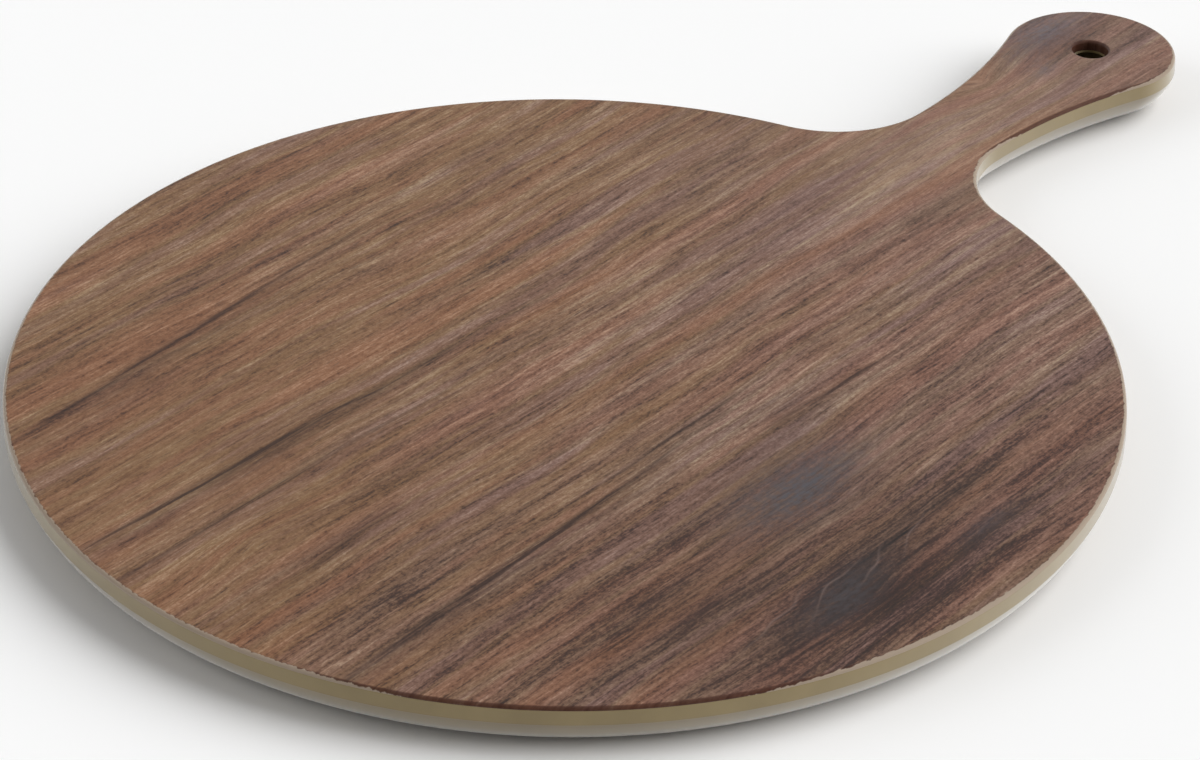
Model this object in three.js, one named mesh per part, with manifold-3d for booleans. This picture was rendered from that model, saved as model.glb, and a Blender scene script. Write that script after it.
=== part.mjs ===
// Moulded melamine serving board: a round disc with a waisted handle and a hanging hole.
// Millimetres, +Z up. It stands on z = 0 with the handle along +X, centred on its own length.

import * as THREE from 'three';
import { mergeVertices, toCreasedNormals } from 'three/addons/utils/BufferGeometryUtils.js';
import Module from 'manifold-3d';

// Plan
const DISC_DIAMETER = 305;
const HANDLE_LENGTH = 125; // from the disc's rim to the end of the lobe
const LOBE_DIAMETER = 54; // round end of the handle
const NECK_WIDTH = 31; // handle at its narrowest
const NECK_FLARE_RADIUS = 190; // hollow curve from the neck out to the lobe
const SHOULDER_RADIUS = 34; // hollow curve from the neck out to the disc
const HANGING_HOLE_DIAMETER = 11;

// Edge section
const OVERALL_HEIGHT = 15; // table to serving face
const TOP_EDGE_RADIUS = 1.2;
const EDGE_BAND = 5; // serving face to the mould's parting line, where the edge is widest
const EDGE_DRAFT = THREE.MathUtils.degToRad(3); // of the band above the parting line
const EDGE_TUCK = 9.6; // how far the edge turns in from the parting line to the rim's foot
const TUCK_START = THREE.MathUtils.degToRad(25); // turn of the tuck's curve where it leaves the parting line
const HOLE_EDGE_RADIUS = 1;

// Body
const PLATE_THICKNESS = 4; // serving face to the ceiling of the hollow
const RIM_LAND = 4.5; // flat width at the foot of the rim
const HOLLOW_DRAFT = THREE.MathUtils.degToRad(8);
const HOLLOW_FILLET = 3;

// Decor sheet
const DECOR_THICKNESS = 0.6;
const DECOR_WRAP = THREE.MathUtils.degToRad(75); // how far it rolls round the top edge
const HOLE_LIP = 0.8; // body left bare below the sheet's collar in the hole
const BOND_LINE = 0.1; // film of resin or glue between bonded pieces

// Feet
const FOOT_COUNT = 6;
const FOOT_DIAMETER = 10;
const FOOT_STAND = 1; // how far the feet stand below the rim
const FOOT_SEAT = 1.5; // depth of the sockets
const FOOT_EDGE_RADIUS = 0.5;
const SOCKET_CLEARANCE = 0.2;
const BOSS_WALL = 3; // material round a socket

// Facets
const CHORD_ERROR = 0.08; // largest distance from a facet to its true arc
const BORDER_STEPS = 2; // on the top edge, each side of the sheet's border
const TUCK_STEPS = 8;
const FILLET_STEPS = 3;
const CREASE_ANGLE = THREE.MathUtils.degToRad(35);
const CUT_MARGIN = 1; // how far a cutter runs past the face that it opens

const QUARTER = Math.PI / 2;
const discRadius = DISC_DIAMETER / 2;
const lobeRadius = LOBE_DIAMETER / 2;
const holeRadius = HANGING_HOLE_DIAMETER / 2;
const footRadius = FOOT_DIAMETER / 2;
const lobeX = discRadius + HANDLE_LENGTH - lobeRadius;
const partingZ = OVERALL_HEIGHT - EDGE_BAND;
const edgeZ = OVERALL_HEIGHT - TOP_EDGE_RADIUS;
const edgeTurn = QUARTER - EDGE_DRAFT; // where the top edge's rounding runs into the drafted band
const bandTopZ = edgeZ + TOP_EDGE_RADIUS * Math.cos(edgeTurn);
const edgeInset = TOP_EDGE_RADIUS * Math.sin(edgeTurn) + (bandTopZ - partingZ) * Math.tan(EDGE_DRAFT);
const ceilingZ = OVERALL_HEIGHT - PLATE_THICKNESS;
const collarZ = ceilingZ + HOLE_LIP;
const socketZ = FOOT_STAND + FOOT_SEAT;
const rimInset = EDGE_TUCK + RIM_LAND;
const footPitchRadius = discRadius - rimInset - footRadius;

const wasm = await Module();
wasm.setup();

// Steps that keep an arc within the chord error, an even number so that a point falls at its middle
function arcSteps(radius, sweep) {
  const step = 2 * Math.acos(1 - CHORD_ERROR / radius);
  return 2 * Math.ceil(Math.abs(sweep) / (2 * step));
}

// The plan is a closed chain of tangent arcs. Bulge is 1 where the arc swells out and -1 where it is hollow.
function planArcs() {
  const neckHalf = NECK_WIDTH / 2;
  const lobe = new THREE.Vector2(lobeX, 0);
  const neckY = neckHalf + NECK_FLARE_RADIUS;
  const neckX = lobeX - Math.sqrt((NECK_FLARE_RADIUS + lobeRadius) ** 2 - neckY ** 2);
  const neck = new THREE.Vector2(neckX, neckY);

  // The shoulder's centre lies a set distance from the disc's centre and from the neck's
  const fromDisc = discRadius + SHOULDER_RADIUS;
  const fromNeck = NECK_FLARE_RADIUS - SHOULDER_RADIUS;
  const reach = neck.length();
  const along = (fromDisc ** 2 - fromNeck ** 2 + reach ** 2) / (2 * reach);
  const across = Math.sqrt(fromDisc ** 2 - along ** 2);
  const axis = neck.clone().normalize();
  const shoulder = new THREE.Vector2(axis.x * along + axis.y * across, axis.y * along - axis.x * across);

  const lobeTurn = neck.clone().sub(lobe).angle();
  const neckTurn = shoulder.clone().sub(neck).angle();
  const discTurn = shoulder.angle();
  const lobeArc = { centre: lobe, radius: lobeRadius, start: -lobeTurn, end: lobeTurn, bulge: 1 };
  const neckArc = {
    centre: neck, radius: NECK_FLARE_RADIUS, start: lobeTurn + Math.PI, end: neckTurn, bulge: -1,
  };
  const shoulderArc = {
    centre: shoulder, radius: SHOULDER_RADIUS, start: neckTurn, end: discTurn + Math.PI, bulge: -1,
  };
  const discArc = {
    centre: new THREE.Vector2(), radius: discRadius, start: discTurn, end: 2 * Math.PI - discTurn, bulge: 1,
  };
  const mirrored = ({ centre, radius, start, end, bulge }) => ({
    centre: new THREE.Vector2(centre.x, -centre.y), radius, start: -end, end: -start, bulge,
  });
  return [lobeArc, neckArc, shoulderArc, discArc, mirrored(shoulderArc), mirrored(neckArc)];
}

const arcs = planArcs();

// Plan outline moved in by an even distance, anticlockwise seen from above
function planRing(inset) {
  const ring = [];
  for (const { centre, radius, start, end, bulge } of arcs) {
    const steps = arcSteps(radius, end - start);
    const reach = radius - bulge * inset;
    for (let i = 0; i < steps; i++) {
      const turn = start + ((end - start) * i) / steps;
      ring.push(new THREE.Vector2(centre.x + reach * Math.cos(turn), centre.y + reach * Math.sin(turn)));
    }
  }
  return ring;
}

// Circle round the hanging hole
function holeRing(radius) {
  const ring = [];
  const steps = 2 * arcSteps(holeRadius, Math.PI);
  for (let i = 0; i < steps; i++) {
    const turn = (2 * Math.PI * i) / steps;
    ring.push(new THREE.Vector2(lobeX + radius * Math.cos(turn), radius * Math.sin(turn)));
  }
  return ring;
}

// Points of an elliptical arc in a section, as [across, z], with the turn measured from straight up
function sectionArc(across, z, reachAcross, reachZ, startTurn, endTurn, steps) {
  const points = [];
  for (let i = 0; i <= steps; i++) {
    const turn = startTurn + ((endTurn - startTurn) * i) / steps;
    points.push([across - reachAcross * Math.sin(turn), z + reachZ * Math.cos(turn)]);
  }
  return points;
}

// Solid swept round the plan. The edge section holds [inset, z] and the hole section [radius, z]. Both run
// from the rim of the top face, round the outside, to the rim of the bottom face.
function sweptPlate(edgeSection, holeSection) {
  const positions = [];
  const index = [];
  const addRing = (ring, z) => {
    const first = positions.length / 3;
    ring.forEach((point) => positions.push(point.x, point.y, z));
    return { first, ring };
  };
  const addBand = (upper, lower, facesAxis) => {
    const count = upper.ring.length;
    for (let i = 0; i < count; i++) {
      const j = (i + 1) % count;
      const [a, b] = facesAxis ? [j, i] : [i, j];
      index.push(upper.first + a, lower.first + a, lower.first + b);
      index.push(upper.first + a, lower.first + b, upper.first + b);
    }
  };
  const addCap = (outer, inner, facesUp) => {
    const faces = THREE.ShapeUtils.triangulateShape([...outer.ring], [[...inner.ring]]);
    const count = outer.ring.length;
    const vertex = (i) => (i < count ? outer.first + i : inner.first + i - count);
    for (const [a, b, c] of faces) {
      const corners = facesUp ? [a, b, c] : [c, b, a];
      index.push(...corners.map(vertex));
    }
  };
  const edge = edgeSection.map(([inset, z]) => addRing(planRing(inset), z));
  const hole = holeSection.map(([radius, z]) => addRing(holeRing(radius), z));
  addCap(edge[0], hole[0], true);
  addCap(edge.at(-1), hole.at(-1), false);
  edge.slice(1).forEach((ring, i) => addBand(edge[i], ring, false));
  hole.slice(1).forEach((ring, i) => addBand(hole[i], ring, true));
  const geometry = new THREE.BufferGeometry();
  geometry.setAttribute('position', new THREE.Float32BufferAttribute(positions, 3));
  geometry.setIndex(index);
  return geometry;
}

// Solid of revolution about a vertical axis, from a profile of [radius, z] that runs up the outside
function revolved(profile, x = 0, y = 0) {
  const points = profile.map(([radius, z]) => new THREE.Vector2(radius, z));
  const widest = Math.max(...profile.map(([radius]) => radius));
  const geometry = new THREE.LatheGeometry(points, 2 * arcSteps(widest, Math.PI));
  return geometry.rotateX(QUARTER).translate(x, y, 0);
}

function toSolid(geometry) {
  const bare = geometry.clone();
  bare.deleteAttribute('normal');
  bare.deleteAttribute('uv');
  const merged = mergeVertices(bare);
  const corners = merged.index.array;
  const triangles = [];
  for (let i = 0; i < corners.length; i += 3) {
    const [a, b, c] = corners.slice(i, i + 3);
    // A lathe's triangles on the axis have no area
    if (a !== b && b !== c && c !== a) triangles.push(a, b, c);
  }
  return new wasm.Manifold(
    new wasm.Mesh({
      numProp: 3,
      vertProperties: new Float32Array(merged.attributes.position.array),
      triVerts: new Uint32Array(triangles),
    }),
  );
}

function toGeometry(solid) {
  const { vertProperties, triVerts } = solid.getMesh();
  const geometry = new THREE.BufferGeometry();
  geometry.setAttribute('position', new THREE.BufferAttribute(vertProperties, 3));
  geometry.setIndex(new THREE.BufferAttribute(triVerts, 1));
  return geometry;
}

// Where each foot stands, seen from the disc's centre, with the handle midway between two feet
function footPlaces() {
  return Array.from({ length: FOOT_COUNT }, (_, i) => {
    const turn = (2 * Math.PI * (i + 0.5)) / FOOT_COUNT;
    return [footPitchRadius * Math.cos(turn), footPitchRadius * Math.sin(turn)];
  });
}

// Hollow under the plate: a drafted wall with a filleted ceiling
function hollowProfile(mouthRadius) {
  const filletZ = ceilingZ - HOLLOW_FILLET;
  const wallAtFillet = mouthRadius - (filletZ - FOOT_STAND) * Math.tan(HOLLOW_DRAFT);
  const filletRadius = wallAtFillet - HOLLOW_FILLET / Math.cos(HOLLOW_DRAFT);
  const fillet = sectionArc(filletRadius, filletZ, -HOLLOW_FILLET, HOLLOW_FILLET,
    QUARTER - HOLLOW_DRAFT, 0, FILLET_STEPS);
  return [
    [0, FOOT_STAND - CUT_MARGIN],
    [mouthRadius, FOOT_STAND - CUT_MARGIN],
    [mouthRadius, FOOT_STAND],
    ...fillet,
    [0, ceilingZ],
  ];
}

// Column left standing in the hollow round a foot's socket, wider towards the plate
function bossProfile() {
  const radius = footRadius + SOCKET_CLEARANCE + BOSS_WALL;
  const spread = (ceilingZ - FOOT_STAND) * Math.tan(HOLLOW_DRAFT);
  return [
    [0, FOOT_STAND - 2 * CUT_MARGIN],
    [radius, FOOT_STAND - 2 * CUT_MARGIN],
    [radius, FOOT_STAND],
    [radius + spread, ceilingZ],
    [radius + spread, ceilingZ + CUT_MARGIN],
    [0, ceilingZ + CUT_MARGIN],
  ];
}

function socketProfile() {
  const radius = footRadius + SOCKET_CLEARANCE;
  return [
    [0, FOOT_STAND - CUT_MARGIN],
    [radius, FOOT_STAND - CUT_MARGIN],
    [radius, socketZ],
    [0, socketZ],
  ];
}

// Body: the rounded top edge carries a step for the rolled sheet. Below it a drafted band runs out to the
// parting line, and from there the edge tucks under to the rim.
function baseGeometry() {
  const seatRadius = TOP_EDGE_RADIUS - DECOR_THICKNESS - BOND_LINE;
  const stepTurn = DECOR_WRAP + BOND_LINE / TOP_EDGE_RADIUS;
  const seat = sectionArc(edgeInset, edgeZ, seatRadius, seatRadius, 0, stepTurn, BORDER_STEPS);
  const bare = sectionArc(edgeInset, edgeZ, TOP_EDGE_RADIUS, TOP_EDGE_RADIUS,
    stepTurn, edgeTurn, BORDER_STEPS);
  const tuckReach = EDGE_TUCK / Math.cos(TUCK_START);
  const tuckRise = (partingZ - FOOT_STAND) / (1 - Math.sin(TUCK_START));
  const tuck = sectionArc(EDGE_TUCK, FOOT_STAND + tuckRise, tuckReach, tuckRise,
    QUARTER + TUCK_START, Math.PI, TUCK_STEPS);

  const holeSeat = HOLE_EDGE_RADIUS - DECOR_THICKNESS - BOND_LINE;
  const flareRadius = holeRadius + HOLE_EDGE_RADIUS;
  const flareZ = OVERALL_HEIGHT - HOLE_EDGE_RADIUS;
  const flare = sectionArc(flareRadius, flareZ, holeSeat, holeSeat, 0, QUARTER, FILLET_STEPS);
  const collarRadius = flareRadius - holeSeat;
  const hole = [
    ...flare,
    [collarRadius, collarZ - BOND_LINE],
    [holeRadius, collarZ - BOND_LINE],
    [holeRadius, FOOT_STAND],
  ];

  const feet = footPlaces();
  let hollow = toSolid(revolved(hollowProfile(discRadius - rimInset)));
  for (const [x, y] of feet) {
    hollow = hollow.subtract(toSolid(revolved(bossProfile(), x, y)));
  }
  let body = toSolid(sweptPlate([...seat, ...bare, ...tuck], hole));
  body = body.subtract(hollow);
  body = body.subtract(toSolid(revolved(hollowProfile(lobeRadius - rimInset), lobeX)));
  for (const [x, y] of feet) {
    body = body.subtract(toSolid(revolved(socketProfile(), x, y)));
  }
  return toGeometry(body);
}

// Sheet: flat on the plate, rolled round the top edge and turned down into the hole as a collar
function decorGeometry() {
  const innerEdge = TOP_EDGE_RADIUS - DECOR_THICKNESS;
  const edge = [
    ...sectionArc(edgeInset, edgeZ, TOP_EDGE_RADIUS, TOP_EDGE_RADIUS, 0, DECOR_WRAP, BORDER_STEPS),
    ...sectionArc(edgeInset, edgeZ, innerEdge, innerEdge, DECOR_WRAP, 0, BORDER_STEPS),
  ];
  const innerFlare = HOLE_EDGE_RADIUS - DECOR_THICKNESS;
  const flareRadius = holeRadius + HOLE_EDGE_RADIUS;
  const flareZ = OVERALL_HEIGHT - HOLE_EDGE_RADIUS;
  const hole = [
    ...sectionArc(flareRadius, flareZ, HOLE_EDGE_RADIUS, HOLE_EDGE_RADIUS, 0, QUARTER, FILLET_STEPS),
    [holeRadius, collarZ],
    [holeRadius + DECOR_THICKNESS, collarZ],
    ...sectionArc(flareRadius, flareZ, innerFlare, innerFlare, QUARTER, 0, FILLET_STEPS),
  ];
  return sweptPlate(edge, hole);
}

// Foot: a soft button with a rounded lower edge, glued into its socket
function footGeometry() {
  const top = socketZ - BOND_LINE;
  const edgeRadius = FOOT_EDGE_RADIUS;
  const edge = sectionArc(footRadius - edgeRadius, edgeRadius, -edgeRadius, edgeRadius, Math.PI, QUARTER,
    FILLET_STEPS);
  return revolved([[0, 0], ...edge, [footRadius, top], [0, top]]);
}

function namedMesh(name, geometry, material) {
  const bare = geometry.clone();
  bare.deleteAttribute('normal');
  const mesh = new THREE.Mesh(toCreasedNormals(bare, CREASE_ANGLE), material);
  mesh.name = name;
  return mesh;
}

const melamine = new THREE.MeshStandardMaterial({ color: 0xb9a883, roughness: 0.32, metalness: 0 });
const printedWood = new THREE.MeshStandardMaterial({ color: 0x75594b, roughness: 0.38, metalness: 0 });
const silicone = new THREE.MeshStandardMaterial({ color: 0x4f4d4a, roughness: 0.7, metalness: 0 });

const board = new THREE.Group();
board.position.x = -HANDLE_LENGTH / 2;
board.add(namedMesh('base_moulding', baseGeometry(), melamine));
board.add(namedMesh('wood_decor_sheet', decorGeometry(), printedWood));
footPlaces().forEach(([x, y], i) => {
  const foot = namedMesh(`foot_${i + 1}`, footGeometry(), silicone);
  foot.position.set(x, y, 0);
  board.add(foot);
});

const part = new THREE.Group();
part.add(board);

export default part;
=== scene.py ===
import math

import bmesh
import bpy
from mathutils import Matrix, Vector
from mathutils.geometry import tessellate_polygon


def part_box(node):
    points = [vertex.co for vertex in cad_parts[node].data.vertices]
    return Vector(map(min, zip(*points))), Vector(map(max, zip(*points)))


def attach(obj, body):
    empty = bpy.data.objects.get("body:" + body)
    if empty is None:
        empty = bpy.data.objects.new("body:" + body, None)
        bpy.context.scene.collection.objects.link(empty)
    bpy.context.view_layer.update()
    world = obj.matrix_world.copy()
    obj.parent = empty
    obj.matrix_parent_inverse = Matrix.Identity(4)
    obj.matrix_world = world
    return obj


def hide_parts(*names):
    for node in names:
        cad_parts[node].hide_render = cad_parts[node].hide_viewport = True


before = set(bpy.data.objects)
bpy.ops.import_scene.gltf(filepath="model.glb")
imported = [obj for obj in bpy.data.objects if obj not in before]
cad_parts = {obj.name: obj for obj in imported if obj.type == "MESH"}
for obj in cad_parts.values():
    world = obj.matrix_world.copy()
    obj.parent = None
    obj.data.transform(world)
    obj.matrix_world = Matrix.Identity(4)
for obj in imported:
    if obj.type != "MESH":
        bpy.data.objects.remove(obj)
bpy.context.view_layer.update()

# Body of the board: one compression moulding of cream melamine. Its edge is widest at the mould's parting
# line and turns under from there all round the disc, neck and handle lobe. Its underside is hollow, with a
# drafted rim and bosses for the feet.
MM = 0.001
QUARTER = math.pi / 2
body_low, body_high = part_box("base_moulding")
serving_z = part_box("wood_decor_sheet")[1].z
rim_z = body_low.z
disc_radius = 152.5 * MM
lobe_radius = 27 * MM
neck_half_width = 15.5 * MM
neck_flare_radius = 190 * MM
shoulder_radius = 34 * MM
top_edge_radius = 1.2 * MM
edge_band = 5 * MM
edge_draft = math.radians(3)
edge_tuck = 9.6 * MM
tuck_start = math.radians(25)
rim_land = 4.5 * MM
plate_thickness = 4 * MM
hollow_draft = math.radians(8)
hollow_fillet = 3 * MM
hole_radius = 5.5 * MM
hole_edge_radius = 1 * MM
hole_lip = 0.8 * MM
decor_thickness = 0.6 * MM
decor_wrap = math.radians(75)
bond_line = 0.02 * MM
foot_radius = 5 * MM
foot_seat = 1.5 * MM
socket_clearance = 0.2 * MM
boss_wall = 3 * MM
disc_x = body_low.x + disc_radius
lobe_x = body_high.x - lobe_radius
parting_z = serving_z - edge_band
edge_z = serving_z - top_edge_radius
edge_turn = QUARTER - edge_draft
band_height = edge_z + top_edge_radius * math.cos(edge_turn) - parting_z
edge_inset = top_edge_radius * math.sin(edge_turn) + band_height * math.tan(edge_draft)
ceiling_z = serving_z - plate_thickness
collar_z = ceiling_z + hole_lip
rim_inset = edge_tuck + rim_land

# Fineness of the arcs, margins for welding and cutting, and the width of a flat ring that keeps the shading
# of a rounded edge off the flat face.
facet_error = 0.004 * MM
seat_steps = 8
bare_edge_steps = 2
tuck_steps = 28
fillet_steps = 10
hole_seat_steps = 6
hollow_steps_round = 360
pocket_steps_round = 96
foot_steps_round = 64
weld_distance = 0.002 * MM
cut_margin = 1 * MM
holding_width = 0.3 * MM
smooth_limit = math.radians(15)


def arc_steps(radius, sweep):
    """Steps that keep an arc within the facet error."""
    step = 2 * math.acos(1 - facet_error / radius)
    return math.ceil(abs(sweep) / step)


def plan_arcs():
    """The plan as a closed chain of tangent arcs.

    Each has its centre, radius, start, end, and 1 where it swells or -1 where it is hollow.
    """
    lobe = Vector((lobe_x - disc_x, 0))
    neck_y = neck_half_width + neck_flare_radius
    neck = Vector((lobe.x - math.sqrt((neck_flare_radius + lobe_radius) ** 2 - neck_y ** 2), neck_y))
    from_disc = disc_radius + shoulder_radius
    from_neck = neck_flare_radius - shoulder_radius
    reach = neck.length
    along = (from_disc ** 2 - from_neck ** 2 + reach ** 2) / (2 * reach)
    across = math.sqrt(from_disc ** 2 - along ** 2)
    axis = neck.normalized()
    shoulder = Vector((axis.x * along + axis.y * across, axis.y * along - axis.x * across))
    lobe_turn = math.atan2(neck.y - lobe.y, neck.x - lobe.x)
    neck_turn = math.atan2(shoulder.y - neck.y, shoulder.x - neck.x)
    disc_turn = math.atan2(shoulder.y, shoulder.x)
    one_side = [
        (neck, neck_flare_radius, lobe_turn - math.pi, neck_turn, -1),
        (shoulder, shoulder_radius, neck_turn, disc_turn - math.pi, -1),
    ]
    other_side = [
        (Vector((centre.x, -centre.y)), radius, -end, -start, bulge)
        for centre, radius, start, end, bulge in reversed(one_side)
    ]
    lobe_arc = (lobe, lobe_radius, -lobe_turn, lobe_turn, 1)
    disc_arc = (Vector((0, 0)), disc_radius, disc_turn, 2 * math.pi - disc_turn, 1)
    return [lobe_arc, *one_side, disc_arc, *other_side]


def plan_ring(inset):
    """Plan outline moved in by an even distance, anticlockwise from above."""
    ring = []
    for centre, radius, start, end, bulge in plan_arcs():
        steps = arc_steps(radius, end - start)
        reach = radius - bulge * inset
        for i in range(steps):
            turn = start + (end - start) * i / steps
            ring.append((disc_x + centre.x + reach * math.cos(turn), centre.y + reach * math.sin(turn)))
    return ring


def hole_ring(radius):
    """Circle round the hanging hole."""
    steps = 4 * arc_steps(hole_radius, QUARTER)
    turns = [2 * math.pi * i / steps for i in range(steps)]
    return [(lobe_x + radius * math.cos(turn), radius * math.sin(turn)) for turn in turns]


def section_arc(across, z, reach_across, reach_z, start, end, steps):
    """Elliptical arc in a section, as (across, z), with the turn measured from straight up."""
    turns = [start + (end - start) * i / steps for i in range(steps + 1)]
    return [(across - reach_across * math.sin(turn), z + reach_z * math.cos(turn)) for turn in turns]


def swept_plate(name, edge_section, hole_section):
    """Solid plate between two sections.

    The edge section of (inset, z) runs round the plan, and the hole section of (radius, z) lines the hole.
    """
    points = []
    faces = []

    def add_ring(ring, z):
        first = len(points)
        points.extend((x, y, z) for x, y in ring)
        return range(first, len(points))

    def add_band(upper, lower, faces_axis):
        count = len(upper)
        for i in range(count):
            j = (i + 1) % count
            a, b = (j, i) if faces_axis else (i, j)
            faces.append((upper[a], lower[a], lower[b], upper[b]))

    def add_cap(outer, inner, faces_up):
        corners = [*outer, *inner]
        loops = [[Vector(points[i]) for i in loop] for loop in (outer, inner)]
        for triangle in tessellate_polygon(loops):
            a, b, c = (Vector(points[corners[i]]) for i in triangle)
            upward = (b - a).cross(c - a).z > 0
            order = triangle if upward == faces_up else reversed(triangle)
            faces.append(tuple(corners[i] for i in order))

    edge = [add_ring(plan_ring(inset), z) for inset, z in edge_section]
    hole = [add_ring(hole_ring(radius), z) for radius, z in hole_section]
    add_cap(edge[0], hole[0], True)
    add_cap(edge[-1], hole[-1], False)
    for upper, lower in zip(edge, edge[1:]):
        add_band(upper, lower, False)
    for upper, lower in zip(hole, hole[1:]):
        add_band(upper, lower, True)
    mesh = bpy.data.meshes.new(name)
    mesh.from_pydata(points, [], faces)
    return new_piece(name, mesh)


def new_piece(name, mesh):
    """Object in the scene, shaded smooth between its real edges."""
    mesh.validate()
    mesh.shade_smooth()
    mesh.set_sharp_from_angle(angle=smooth_limit)
    piece = bpy.data.objects.new(name, mesh)
    bpy.context.scene.collection.objects.link(piece)
    return piece


def revolved(name, profile, x, y, steps):
    """Solid turned about a vertical axis, from a profile of (radius, z) that runs up from axis to axis."""
    form = bmesh.new()
    line = [form.verts.new((radius, 0, z)) for radius, z in profile]
    edges = [form.edges.new(pair) for pair in zip(line, line[1:])]
    bmesh.ops.spin(form, geom=line + edges, axis=(0, 0, 1), angle=2 * math.pi, steps=steps, use_merge=True)
    bmesh.ops.remove_doubles(form, verts=form.verts, dist=weld_distance)
    bmesh.ops.recalc_face_normals(form, faces=form.faces)
    bmesh.ops.translate(form, verts=form.verts, vec=(x, y, 0))
    mesh = bpy.data.meshes.new(name)
    form.to_mesh(mesh)
    form.free()
    return new_piece(name, mesh)


def cut(piece, cutter):
    """Takes the cutter's space out of a piece and removes the cutter."""
    tool = piece.modifiers.new("cut", "BOOLEAN")
    tool.operation = "DIFFERENCE"
    tool.solver = "EXACT"
    tool.object = cutter
    depsgraph = bpy.context.evaluated_depsgraph_get()
    result = bpy.data.meshes.new_from_object(piece.evaluated_get(depsgraph))
    piece.modifiers.clear()
    piece.data = result
    bpy.data.objects.remove(cutter)


def hollow_profile(mouth_radius):
    """Drafted wall with a filleted ceiling, from the axis out and up to the axis again."""
    fillet_z = ceiling_z - hollow_fillet
    wall_at_fillet = mouth_radius - (fillet_z - rim_z) * math.tan(hollow_draft)
    fillet_radius = wall_at_fillet - hollow_fillet / math.cos(hollow_draft)
    fillet = section_arc(
        fillet_radius, fillet_z, -hollow_fillet, hollow_fillet, QUARTER - hollow_draft, 0, fillet_steps)
    low = rim_z - cut_margin
    return [(0, low), (mouth_radius, low), (mouth_radius, rim_z), *fillet, (0, ceiling_z)]


foot_names = sorted(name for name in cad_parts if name.startswith("foot_"))
foot_places = [(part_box(name)[0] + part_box(name)[1]) / 2 for name in foot_names]

seat_radius = top_edge_radius - decor_thickness - bond_line
step_turn = decor_wrap + bond_line / top_edge_radius
tuck_reach = edge_tuck / math.cos(tuck_start)
tuck_rise = (parting_z - rim_z) / (1 - math.sin(tuck_start))
tuck_turn = QUARTER + tuck_start
body_edge = [
    (edge_inset + holding_width, edge_z + seat_radius),
    *section_arc(edge_inset, edge_z, seat_radius, seat_radius, 0, step_turn, seat_steps),
    *section_arc(edge_inset, edge_z, top_edge_radius, top_edge_radius, step_turn, edge_turn, bare_edge_steps),
    *section_arc(edge_tuck, rim_z + tuck_rise, tuck_reach, tuck_rise, tuck_turn, math.pi, tuck_steps),
]
hole_seat = hole_edge_radius - decor_thickness - bond_line
flare_radius = hole_radius + hole_edge_radius
flare_z = serving_z - hole_edge_radius
body_hole = [
    (flare_radius + holding_width, flare_z + hole_seat),
    *section_arc(flare_radius, flare_z, hole_seat, hole_seat, 0, QUARTER, hole_seat_steps),
    (flare_radius - hole_seat, collar_z - bond_line),
    (hole_radius, collar_z - bond_line),
    (hole_radius, rim_z),
]
body = swept_plate("board_body", body_edge, body_hole)

hollow = revolved("hollow", hollow_profile(disc_radius - rim_inset), disc_x, 0, hollow_steps_round)
socket_radius = foot_radius + socket_clearance
socket_profile = [
    (0, rim_z - cut_margin),
    (socket_radius, rim_z - cut_margin),
    (socket_radius, rim_z + foot_seat),
    (0, rim_z + foot_seat),
]
boss_radius = socket_radius + boss_wall
boss_spread = (ceiling_z - rim_z) * math.tan(hollow_draft)
boss_low = rim_z - 2 * cut_margin
boss_high = ceiling_z + cut_margin
boss_profile = [
    (0, boss_low),
    (boss_radius, boss_low),
    (boss_radius, rim_z),
    (boss_radius + boss_spread, ceiling_z),
    (boss_radius + boss_spread, boss_high),
    (0, boss_high),
]
for place in foot_places:
    cut(hollow, revolved("boss", boss_profile, place.x, place.y, foot_steps_round))
cut(body, hollow)
cut(body, revolved("lobe_pocket", hollow_profile(lobe_radius - rim_inset), lobe_x, 0, pocket_steps_round))
for place in foot_places:
    cut(body, revolved("socket", socket_profile, place.x, place.y, foot_steps_round))
body.data.shade_smooth()
body.data.set_sharp_from_angle(angle=smooth_limit)


def linear(hex_colour):
    """sRGB hex value as linear red, green, blue and alpha."""
    channels = [int(hex_colour[i:i + 2], 16) / 255 for i in (1, 3, 5)]
    return [c / 12.92 if c <= 0.04045 else ((c + 0.055) / 1.055) ** 2.4 for c in channels] + [1]


def add(tree, kind, inputs=None, stops=(), **settings):
    """Adds a node with its settings. An input is a value, a socket, or a node whose first output is meant."""
    node = tree.nodes.new(kind)
    for name, value in settings.items():
        setattr(node, name, value)
    for key, value in (inputs or {}).items():
        if isinstance(value, bpy.types.Node):
            value = next(output for output in value.outputs if output.enabled)
        socket = next(i for n, i in enumerate(node.inputs) if i.enabled and key in (i.name, n))
        if isinstance(value, bpy.types.NodeSocket):
            tree.links.new(value, socket)
        else:
            socket.default_value = value
    while 0 < len(stops) > len(node.color_ramp.elements):
        node.color_ramp.elements.new(1)
    for n, (position, colour) in enumerate(stops):
        node.color_ramp.elements[n].position = position
        node.color_ramp.elements[n].color = linear(colour)
    return node


def new_material(name):
    """Empty material with its node tree and output node."""
    material = bpy.data.materials.new(name)
    material.use_nodes = True
    material.node_tree.nodes.clear()
    return material, material.node_tree, add(material.node_tree, "ShaderNodeOutputMaterial")


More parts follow.
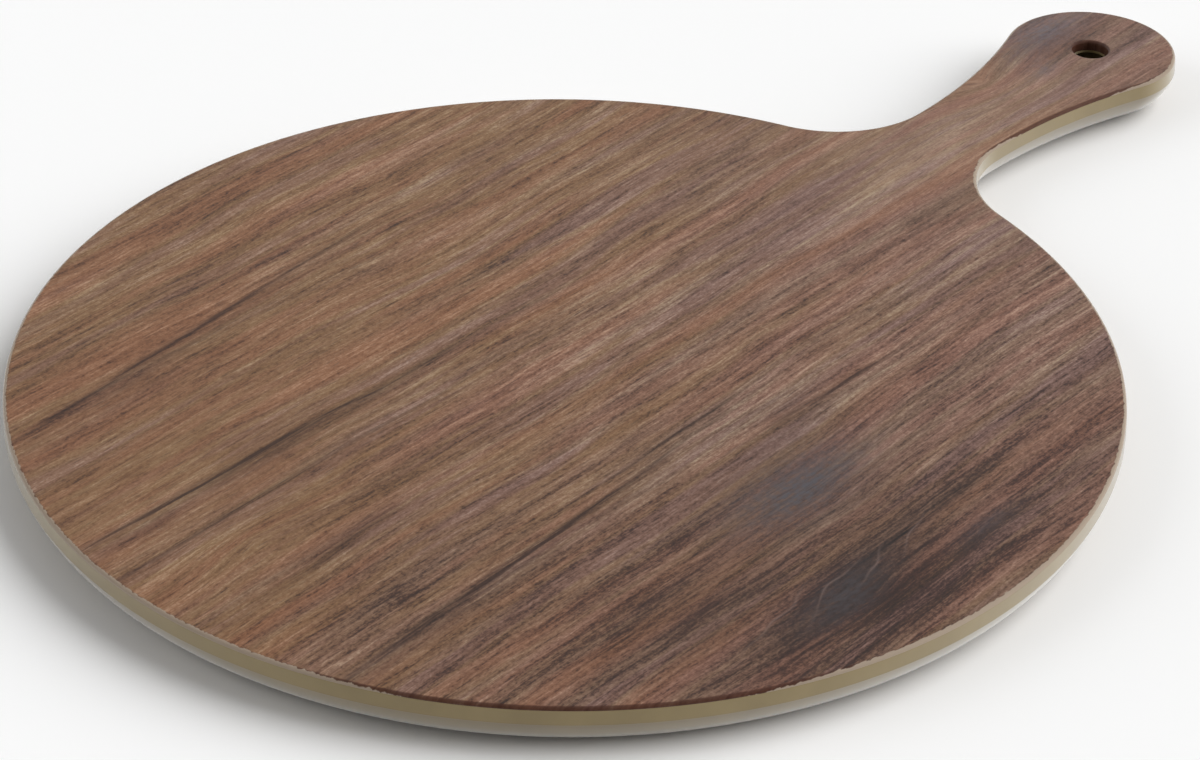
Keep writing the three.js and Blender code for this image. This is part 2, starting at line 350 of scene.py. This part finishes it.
# Melamine is a hard thermoset, pressed under heat and polished by the mould, so it has an even satin gloss.
# The filler shows as a faint cloudiness in the cream colour, and the mould leaves a very slight ripple.
# Below the parting line the cream is written a shade darker: painted shade on the tuck that turns under, as
# the tuck looks in the photograph.
cream, tree, output = new_material("moulded_cream_melamine")
cloud_mm = 16
cloud_low = 0.3
cloud_high = 0.7
ripple_mm = 4
ripple_depth = 0.1 * MM
parting_blend_mm = 0.2
coordinates = add(tree, "ShaderNodeTexCoord").outputs["Object"]
in_mm = add(tree, "ShaderNodeMapping", {"Vector": coordinates, "Scale": [1 / MM] * 3})
cloud = add(tree, "ShaderNodeTexNoise", {"Vector": in_mm, "Scale": 1 / cloud_mm, "Detail": 4})
upper_cream = add(tree, "ShaderNodeValToRGB", {"Fac": cloud}, stops=[
    (cloud_low, "#7A673A"), (cloud_high, "#857244")])
# Painted shade: the cream under the parting line is multiplied darker.
tuck_painted_shade = add(tree, "ShaderNodeMix", {
    "Factor": 1, "A": upper_cream, "B": linear("#DCD7CC")}, data_type="RGBA", blend_type="MULTIPLY")
height = add(tree, "ShaderNodeSeparateXYZ", {"Vector": in_mm}).outputs["Z"]
above_parting = add(tree, "ShaderNodeMapRange", {
    "Value": height,
    "From Min": parting_z / MM - parting_blend_mm, "From Max": parting_z / MM + parting_blend_mm})
colour = add(tree, "ShaderNodeMix", {
    "Factor": above_parting, "A": tuck_painted_shade, "B": upper_cream}, data_type="RGBA")
ripple = add(tree, "ShaderNodeTexNoise", {"Vector": in_mm, "Scale": 1 / ripple_mm, "Detail": 2})
relief = add(tree, "ShaderNodeBump", {"Height": ripple, "Strength": 0.1, "Distance": ripple_depth})
gloss = add(tree, "ShaderNodeMapRange", {
    "Value": cloud, "From Min": cloud_low, "From Max": cloud_high, "To Min": 0.2, "To Max": 0.26})
shader = add(tree, "ShaderNodeBsdfPrincipled", {
    "Base Color": colour, "Roughness": gloss, "IOR": 1.4, "Sheen Weight": 0.8, "Sheen Roughness": 0.5,
    "Normal": relief})
tree.links.new(shader.outputs["BSDF"], output.inputs["Surface"])
body.data.materials.clear()
body.data.materials.append(cream)
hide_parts("base_moulding")
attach(body, "root")

# Decor sheet: printed foil under a clear glaze, pressed on in the mould. It lies flat on the plate, rolls
# round the top edge and turns down into the hanging hole as a collar.
sheet_edge_steps = 10
sheet_hole_steps = 8
inner_edge = top_edge_radius - decor_thickness
sheet_edge = [
    (edge_inset + holding_width, serving_z),
    *section_arc(edge_inset, edge_z, top_edge_radius, top_edge_radius, 0, decor_wrap, sheet_edge_steps),
    *section_arc(edge_inset, edge_z, inner_edge, inner_edge, decor_wrap, 0, seat_steps),
]
inner_flare = hole_edge_radius - decor_thickness
sheet_hole = [
    (flare_radius + holding_width, serving_z),
    *section_arc(flare_radius, flare_z, hole_edge_radius, hole_edge_radius, 0, QUARTER, sheet_hole_steps),
    (hole_radius, collar_z),
    (hole_radius + decor_thickness, collar_z),
    *section_arc(flare_radius, flare_z, inner_flare, inner_flare, QUARTER, 0, hole_seat_steps),
]
sheet = swept_plate("wood_print_sheet", sheet_edge, sheet_hole)

# A walnut decor is printed in a few browns and sealed under a clear glaze, so the grain is fine and slightly
# faded, with long dark growth lines and blue-grey clouds, and the surface has one even satin sheen.
# Places in the print are in millimetres: u runs with the grain from the disc's middle, and v across it.
walnut, tree, output = new_material("walnut_print_under_glaze")
coordinates = add(tree, "ShaderNodeTexCoord")
flat = add(tree, "ShaderNodeMapping", {
    "Vector": coordinates.outputs["Object"], "Location": (-disc_x / MM, 0, 0), "Scale": (1 / MM, 1 / MM, 0)})


def streaks(paper, length, width, detail, seed):
    """Noise drawn out along the grain, with its rough length and width in millimetres."""
    stretched = add(tree, "ShaderNodeMapping", {
        "Vector": paper, "Location": (seed, -seed, 0), "Scale": (1 / length, 1 / width, 1)})
    return add(tree, "ShaderNodeTexNoise", {"Vector": stretched, "Scale": 1, "Detail": detail})


def soft_spot(paper, u, v, half_length, half_width, tilt):
    """Soft-edged ellipse in the print, from 1 in its middle to 0 at its edge."""
    framed = add(tree, "ShaderNodeMapping", {
        "Vector": paper, "Location": (u, v, 0), "Rotation": (0, 0, math.radians(tilt)),
        "Scale": (half_length, half_width, 1)}, vector_type="TEXTURE")
    spot = add(tree, "ShaderNodeTexGradient", {"Vector": framed}, gradient_type="QUADRATIC_SPHERE")
    return spot.outputs["Fac"]


def with_areas(value, areas):
    """Value that changes softly in some parts of the print: u, v, half length, half width and change."""
    for u, v, half_length, half_width, change in areas:
        area = soft_spot(flat, u, v, half_length, half_width, 0)
        value = add(tree, "ShaderNodeMath", {0: area, 1: change, 2: value}, operation="MULTIPLY_ADD")
    return value


# The grain sways a little, and it swings round the knots under the print.
broad_sway = 9
fine_sway = 3
broad = streaks(flat, length=190, width=60, detail=1, seed=1.3)
fine = streaks(flat, length=45, width=30, detail=1, seed=4.7)
sway = add(tree, "ShaderNodeMath", {
    0: broad, 1: broad_sway, 2: -(broad_sway + fine_sway) / 2}, operation="MULTIPLY_ADD")
sway = add(tree, "ShaderNodeMath", {0: fine, 1: fine_sway, 2: sway}, operation="MULTIPLY_ADD")
sway = with_areas(sway, [
    (209, 12, 34, 20, 7),
    (5, -82, 60, 26, 2),
    (-115, 4, 40, 18, -4),
    (-30, -128, 60, 16, 4)])
shift = add(tree, "ShaderNodeCombineXYZ", {"Y": sway})
grain = add(tree, "ShaderNodeVectorMath", {0: flat, 1: shift})

# Light and dark from broad bands down to fibres and the print's own mottling, each as length, width, weight
# and seed. The finest are drawn about twice their real width so that they show.
middle_tone = 0.5
tone = 0.53
for length, width, weight, seed in [
        (220, 16, 0.35, 3.1),
        (110, 6, 0.5, 5.2),
        (45, 11, 0.35, 6.3),
        (55, 2.4, 0.65, 7.7),
        (22, 1.1, 0.7, 9.4),
        (14, 3.5, 0.3, 10.6),
        (8, 0.5, 0.52, 11.9),
        (4, 1.2, 0.4, 12.8),
        (1.6, 0.8, 0.65, 13.5),
        (0.7, 0.5, 0.5, 17.3)]:
    noise = streaks(grain, length, width, 2, seed)
    spread = add(tree, "ShaderNodeMath", {0: noise, 1: weight, 2: -weight / 2}, operation="MULTIPLY_ADD")
    tone = add(tree, "ShaderNodeMath", {0: spread, 1: tone})

# The grain is quieter in most of these parts of the print and livelier in the last.
contrast = with_areas(1, [
    (215, 0, 200, 130, -0.45),
    (150, 0, 70, 60, -0.3),
    (-6, -84, 70, 36, -0.5),
    (-65, -98, 60, 28, -0.4),
    (-25, -125, 90, 40, -0.45),
    (-100, 40, 120, 110, -0.3),
    (85, -85, 90, 50, 0.12)])
tone = add(tree, "ShaderNodeMath", {0: tone, 1: middle_tone}, operation="SUBTRACT")
tone = add(tree, "ShaderNodeMath", {0: tone, 1: contrast, 2: middle_tone}, operation="MULTIPLY_ADD")

# Parts of the print that are lighter or darker as a whole. The lighter neck and handle are partly painted
# sheen, and the darker band near the front edge is partly painted shade.
tone = with_areas(tone, [
    (-30, -130, 170, 60, -0.45),
    (-70, -84, 130, 40, -0.21),
    (95, -80, 90, 50, -0.06),
    (175, 0, 80, 45, 0.22),
    (140, 0, 50, 45, 0.14),
    (215, 0, 50, 40, 0.1),
    (-110, -40, 90, 50, -0.15),
    (248, 17, 40, 20, -0.1),
    (-10, -150, 70, 14, 0.2)])

# The wood is a warm brown on the left of the handle and a greyer one on its right, partly print and partly a
# painted sheen, and its hue drifts from streak to streak.
warm = add(tree, "ShaderNodeValToRGB", {"Fac": tone}, stops=[
    (0, "#301A0F"), (0.19, "#4E311F"), (0.34, "#6C4930"), (0.5, "#7F5A3F"), (0.66, "#8A674C"),
    (0.81, "#9B795F"), (1, "#AC8D74")])
grey = add(tree, "ShaderNodeValToRGB", {"Fac": tone}, stops=[
    (0, "#2C1A16"), (0.19, "#432A22"), (0.34, "#634639"), (0.5, "#7B5B4D"), (0.66, "#8B6C5D"),
    (0.81, "#9E8170"), (1, "#B09585")])
towards_grey = (0.35, -0.9, 0)
grey_drift = 2.4
# Partly painted sheen: the wood greys towards the right of the board.
right = add(tree, "ShaderNodeVectorMath", {0: flat, 1: towards_grey}, operation="DOT_PRODUCT")
greying_and_painted_sheen = add(tree, "ShaderNodeMapRange", {"Value": right.outputs["Value"], "From Min": -60, "From Max": 90})
bands = streaks(grain, length=110, width=8, detail=3, seed=31.7)
drift = add(tree, "ShaderNodeMath", {0: bands, 1: grey_drift, 2: -grey_drift / 2}, operation="MULTIPLY_ADD")
greying_and_painted_sheen = add(tree, "ShaderNodeMath", {0: greying_and_painted_sheen, 1: drift}, use_clamp=True)
colour = add(tree, "ShaderNodeMix", {"Factor": greying_and_painted_sheen, "A": warm, "B": grey}, data_type="RGBA")
hues = streaks(grain, length=150, width=10, detail=3, seed=37.9)
tint = add(tree, "ShaderNodeValToRGB", {"Fac": hues}, stops=[
    (0.36, "#FFF3ED"), (0.45, "#FFFCF9"), (0.54, "#F7FFF4"), (0.62, "#F1F3FF")])
colour = add(tree, "ShaderNodeMix", {
    "Factor": 1, "A": colour, "B": tint}, data_type="RGBA", blend_type="MULTIPLY")


def inked(colour, texture, blend, spots):
    """Colour with soft spots of ink over it: u, v, half length, half width, tilt, ink and strength."""
    for u, v, half_length, half_width, tilt, ink, strength in spots:
        spot = soft_spot(grain, u, v, half_length, half_width, tilt)
        amount = add(tree, "ShaderNodeMath", {0: spot, 1: texture}, operation="MULTIPLY")
        amount = add(tree, "ShaderNodeMath", {0: amount, 1: strength}, operation="MULTIPLY", use_clamp=True)
        colour = add(tree, "ShaderNodeMix", {
            "Factor": amount, "A": colour, "B": linear(ink)}, data_type="RGBA", blend_type=blend)
    return colour


# Shades and growth lines are printed over the grain, broken up by its fibres.
fibres = streaks(grain, length=22, width=0.9, detail=2, seed=15.3)
broken = add(tree, "ShaderNodeMapRange", {
    "Value": fibres, "From Min": 0.35, "From Max": 0.6, "To Min": 0.3, "To Max": 1})
colour = inked(colour, broken, "MULTIPLY", [
    (-60, -92, 75, 32, 0, "#EEF8F4", 1),
    (-4, -82, 60, 31, 2, "#A8A0A4", 1.2),
    (-40, -120, 80, 22, 5, "#B4ACB2", 0.7),
    (-33, -120, 40, 11, 8, "#A49EAA", 1),
    (-2, -115.5, 56, 8, 8, "#A8A0A6", 1.1),
    (6, -116, 76, 3, 1, "#9C9294", 1.4),
    (16, -131, 28, 8, 0, "#B0A8B2", 1.1),
    (26, -58, 44, 12, 0, "#C4C2CA", 1),
    (248, 15, 46, 26, 0, "#CAC4D0", 1.1),
    (-100, -15, 60, 6, 3, "#B8AEB2", 1.4),
    (-66, 83, 140, 9, 4.3, "#CBC4C6", 1),
    (-66, 86.5, 150, 2, 4.3, "#94867F", 2),
    (-88, 28, 140, 8, -1, "#C2BABE", 1.2),
    (-88, 31, 160, 2.3, -1, "#8A7A75", 2),
    (-104, 16, 120, 1.4, 0, "#988A82", 2),
    (-81, -54, 140, 8, 2.8, "#C0B8BC", 1.2),
    (-81, -51.5, 160, 2.3, 2.8, "#8A7A75", 2),
    (-5, -44, 60, 1.4, 1, "#988A82", 2),
    (47, -61, 80, 1.4, -1, "#988A82", 2)])

# Speckled clouds of blue-grey ink lie over the shades.
specks = streaks(flat, length=2.6, width=1.3, detail=2, seed=39.1)
speckle = add(tree, "ShaderNodeMapRange", {
    "Value": specks, "From Min": 0.3, "From Max": 0.7, "To Min": 0.4, "To Max": 1.6})
colour = inked(colour, speckle, "MIX", [
    (-3, -82, 49, 21, 5, "#4F4B4F", 0.9),
    (-33, -121, 36, 12, 8, "#3D3638", 0.9),
    (16, -131, 26, 8, 0, "#483C3E", 0.6),
    (251, 19, 42, 17, 0, "#686065", 0.7),
    (229, 5, 16, 10, 0, "#6A6068", 0.4)])

# A few pale curls, each as place, half length and tilt, cross the dark figure and waver.
curl_half_width = 0.7
curl_strength = 0.45
curl_wave = 9
waver = streaks(flat, length=18, width=18, detail=1, seed=41.3)
wave = add(tree, "ShaderNodeMath", {0: waver, 1: curl_wave, 2: -curl_wave / 2}, operation="MULTIPLY_ADD")
wave = add(tree, "ShaderNodeCombineXYZ", {"Y": wave})
curled = add(tree, "ShaderNodeVectorMath", {0: grain, 1: wave})
for u, v, half_length, tilt in [
        (-52, -115.5, 30, 11),
        (-32, -117, 26, 14),
        (-18, -118.5, 15, 20),
        (0, -117.5, 17, 22)]:
    curl = soft_spot(curled, u, v, half_length, curl_half_width, tilt)
    amount = add(tree, "ShaderNodeMath", {0: curl, 1: curl_strength}, operation="MULTIPLY")
    colour = add(tree, "ShaderNodeMix", {
        "Factor": amount, "A": colour, "B": linear("#856F67")}, data_type="RGBA")

# Pores are short dark dashes.
pores = streaks(grain, length=8, width=0.4, detail=1, seed=21.7)
pore_depth = add(tree, "ShaderNodeMapRange", {
    "Value": pores, "From Min": 0.6, "From Max": 0.75, "To Min": 0, "To Max": 0.6})
colour = add(tree, "ShaderNodeMix", {
    "Factor": pore_depth, "A": colour, "B": linear("#35251F")}, data_type="RGBA")

# The print ends raggedly at the top of the rounded edge and leaves the foil's own cream bare below; that
# cream is written pale, partly as a painted highlight along the edge. At the front, in the hanging hole and a
# little along the handle's right side it rolls over the edge, and there the ink turns dark and red, partly as
# stretched ink and partly as painted shade that deepens as the edge turns down.
ragged_mm = 1.6
ragged_start_mm = -0.6
ragged_blend_mm = 0.1
edge_start_turn = 0.1
hole_u = (lobe_x - disc_x) / MM
upward = add(tree, "ShaderNodeSeparateXYZ", {"Vector": coordinates.outputs["Normal"]}).outputs["Z"]
turn = add(tree, "ShaderNodeMath", {0: upward}, operation="ARCCOSINE")
rolled_mm = add(tree, "ShaderNodeMath", {0: turn, 1: top_edge_radius / MM}, operation="MULTIPLY")
ragged = streaks(flat, length=3, width=1.2, detail=2, seed=27.1)
reach = add(tree, "ShaderNodeMath", {
    0: ragged, 1: ragged_mm, 2: ragged_start_mm}, operation="MULTIPLY_ADD")
reach = with_areas(reach, [
    (-115, -105, 95, 85, 5),
    (211, -19, 55, 18, 3.5),
    (hole_u, 0, 14, 14, 60)])
past = add(tree, "ShaderNodeMath", {0: rolled_mm, 1: reach}, operation="SUBTRACT")
bare = add(tree, "ShaderNodeMapRange", {
    "Value": past, "From Min": -ragged_blend_mm, "From Max": ragged_blend_mm})
on_edge = add(tree, "ShaderNodeMath", {0: turn, 1: edge_start_turn}, operation="GREATER_THAN")
bare = add(tree, "ShaderNodeMath", {0: bare, 1: on_edge}, operation="MULTIPLY")
# Partly painted shade: the print darkens to a dark red as the edge turns down.
rolled_edge_shade = add(tree, "ShaderNodeMapRange", {"Value": turn, "From Min": 0.05, "From Max": 0.4, "To Max": 0.8})
colour = add(tree, "ShaderNodeMix", {
    "Factor": rolled_edge_shade, "A": colour, "B": linear("#44271D")}, data_type="RGBA")
# The bare foil's pale, neutral cream is partly a painted highlight along the rounded edge.
colour = add(tree, "ShaderNodeMix", {
    "Factor": bare, "A": colour, "B": linear("#9A8A79")}, data_type="RGBA")
print_depth = 0.05 * MM
polish = add(tree, "ShaderNodeMapRange", {"Value": bare, "To Min": 0.3, "To Max": 0.18})
relief = add(tree, "ShaderNodeBump", {"Height": tone, "Strength": 0.25, "Distance": print_depth})
shader = add(tree, "ShaderNodeBsdfPrincipled", {
    "Base Color": colour, "Roughness": polish, "IOR": 1.5, "Normal": relief})
tree.links.new(shader.outputs["BSDF"], output.inputs["Surface"])
sheet.data.materials.append(walnut)
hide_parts("wood_decor_sheet")
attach(sheet, "root")

# Feet: soft silicone buttons with a rounded lower edge. Each is glued into its socket in the body and stands
# a little below the rim.
foot_edge_radius = 0.5 * MM
foot_edge_steps = 8

# Silicone rubber is matt and a little uneven, as if dusted, so it shows as a soft dark grey without glints.
silicone, tree, output = new_material("matt_grey_silicone")
dust_mm = 0.8
coordinates = add(tree, "ShaderNodeTexCoord").outputs["Object"]
in_mm = add(tree, "ShaderNodeMapping", {"Vector": coordinates, "Scale": [1 / MM] * 3})
dust = add(tree, "ShaderNodeTexNoise", {"Vector": in_mm, "Scale": 1 / dust_mm, "Detail": 3})
colour = add(tree, "ShaderNodeValToRGB", {"Fac": dust}, stops=[(0.3, "#474543"), (0.7, "#5C5955")])
shader = add(tree, "ShaderNodeBsdfPrincipled", {"Base Color": colour, "Roughness": 0.62, "IOR": 1.41})
tree.links.new(shader.outputs["BSDF"], output.inputs["Surface"])
for name, place in zip(foot_names, foot_places):
    low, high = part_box(name)
    edge = section_arc(
        foot_radius - foot_edge_radius, low.z + foot_edge_radius, -foot_edge_radius, foot_edge_radius,
        math.pi, QUARTER, foot_edge_steps)
    profile = [(0, low.z), *edge, (foot_radius, high.z), (0, high.z)]
    foot = revolved(f"silicone_{name}", profile, place.x, place.y, foot_steps_round)
    foot.data.materials.append(silicone)
    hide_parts(name)
    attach(foot, "root")

# Studio: a plain pale floor that runs out of sight, a broad soft key light from the right of the picture with
# a low side light near it and a weaker fill from the left, and a pale surround that is brighter behind the
# board than in front of it. The gloss shows the surround and not the lamps, which would hide the print from
# behind.
floor_reach = 60
corners = [(-1, -1), (1, -1), (1, 1), (-1, 1)]
floor_mesh = bpy.data.meshes.new("floor")
floor_mesh.from_pydata([(floor_reach * x, floor_reach * y, 0) for x, y in corners], [], [(0, 1, 2, 3)])
floor = new_piece("floor", floor_mesh)
paper, tree, output = new_material("pale_paper")
shader = add(tree, "ShaderNodeBsdfDiffuse", {"Color": linear("#F6F6F6")})
tree.links.new(shader.outputs["BSDF"], output.inputs["Surface"])
floor.data.materials.append(paper)

towards_bright = (0.76, 0.65, 0)
world = bpy.data.worlds.new("studio")
world.use_nodes = True
bpy.context.scene.world = world
tree = world.node_tree
direction = add(tree, "ShaderNodeTexCoord").outputs["Generated"]
facing = add(tree, "ShaderNodeVectorMath", {0: direction, 1: towards_bright}, operation="DOT_PRODUCT")
glow = add(tree, "ShaderNodeMapRange", {
    "Value": facing.outputs["Value"], "From Min": -1, "From Max": 1, "To Min": 0.05, "To Max": 0.5})
tree.links.new(glow.outputs["Result"], tree.nodes["Background"].inputs["Strength"])
tree.nodes["Background"].inputs["Color"].default_value = linear("#FFFFFF")
for name, energy, spread, lamp_turn, lamp_height in [
        ("key", 2.97, 60, -42, 40),
        ("fill", 1.1, 60, 137, 20),
        ("side", 0.5, 40, -65, 14)]:
    lamp = bpy.data.lights.new(name, "SUN")
    lamp.energy = energy
    lamp.angle = math.radians(spread)
    holder = bpy.data.objects.new(name, lamp)
    holder.rotation_euler = (0, math.radians(90 - lamp_height), math.radians(lamp_turn))
    holder.visible_glossy = False
    bpy.context.scene.collection.objects.link(holder)

# Camera at the photograph's place. It looks 40 degrees off the handle's axis and 33 degrees down, through a
# long lens. Its turn is measured from straight across the handle.
photo_width = 1200
focal_pixels = 3688
camera_turn = math.radians(49.526)
camera_drop = math.radians(32.80)
camera_roll = math.radians(1.003)
camera_place = Vector((-701.69, -557.70, 556.74)) * MM
camera = bpy.data.cameras.new("camera")
camera.sensor_width = 36
camera.lens = focal_pixels / photo_width * camera.sensor_width
viewer = bpy.data.objects.new("camera", camera)
viewer.location = camera_place
forward = Vector((
    math.sin(camera_turn) * math.cos(camera_drop),
    math.cos(camera_turn) * math.cos(camera_drop),
    -math.sin(camera_drop)))
level = forward.to_track_quat("-Z", "Y")
viewer.rotation_mode = "QUATERNION"
viewer.rotation_quaternion = level @ Matrix.Rotation(camera_roll, 3, "Z").to_quaternion()
bpy.context.scene.collection.objects.link(viewer)
bpy.context.scene.camera = viewer
bpy.context.scene.view_settings.view_transform = "Standard"
